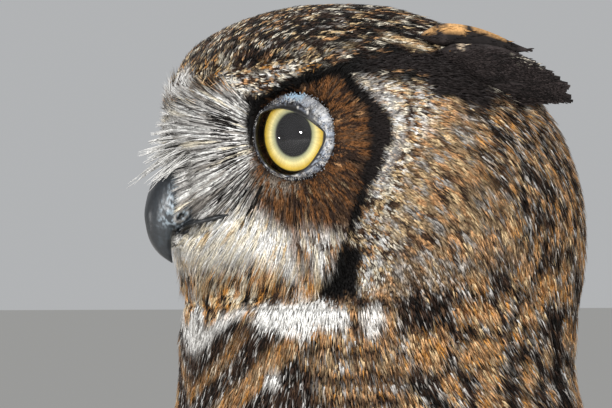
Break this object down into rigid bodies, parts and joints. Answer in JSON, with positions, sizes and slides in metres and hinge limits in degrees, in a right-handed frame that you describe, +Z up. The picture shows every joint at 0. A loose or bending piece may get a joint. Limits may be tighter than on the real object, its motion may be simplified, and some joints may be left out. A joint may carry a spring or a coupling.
{
  "type": "great horned owl",
  "caption": "Life-size great horned owl standing upright with folded wings, ear tufts laid back, hooked bill and feathered feet.",
  "frame": {"origin": "on the floor under the middle of the bird's outline, at the height of its soles", "axes": "+Z up, -Y the way the bird faces, +X its left side"},
  "size_m": [0.1954, 0.255, 0.454],
  "materials": {
    "head_plumage": "soft mottled feathers",
    "body_plumage": "soft barred feathers",
    "wing_plumage": "barred flight feathers",
    "ear_tuft_plumage": "long dark feathers",
    "leg_plumage": "short dense feathers",
    "horn": "satin keratin",
    "eye": "wet gloss"
  },
  "bodies": {
    "root": {"head": "head_plumage", "neck": "body_plumage", "trunk": "body_plumage", "tail": "wing_plumage", "bill_upper": "horn", "bill_lower": "horn", "eye_left": "eye", "ear_tuft_left": "ear_tuft_plumage", "wing_left": "wing_plumage", "thigh_left": "leg_plumage", "shank_left": "leg_plumage", "toe_middle_left": "leg_plumage", "talon_middle_left": "horn", "toe_inner_left": "leg_plumage", "talon_inner_left": "horn", "toe_outer_left": "leg_plumage", "talon_outer_left": "horn", "toe_hind_left": "leg_plumage", "talon_hind_left": "horn", "eye_right": "eye", "ear_tuft_right": "ear_tuft_plumage", "wing_right": "wing_plumage", "thigh_right": "leg_plumage", "shank_right": "leg_plumage", "toe_middle_right": "leg_plumage", "talon_middle_right": "horn", "toe_inner_right": "leg_plumage", "talon_inner_right": "horn", "toe_outer_right": "leg_plumage", "talon_outer_right": "horn", "toe_hind_right": "leg_plumage", "talon_hind_right": "horn"}
  },
  "joints": []
}
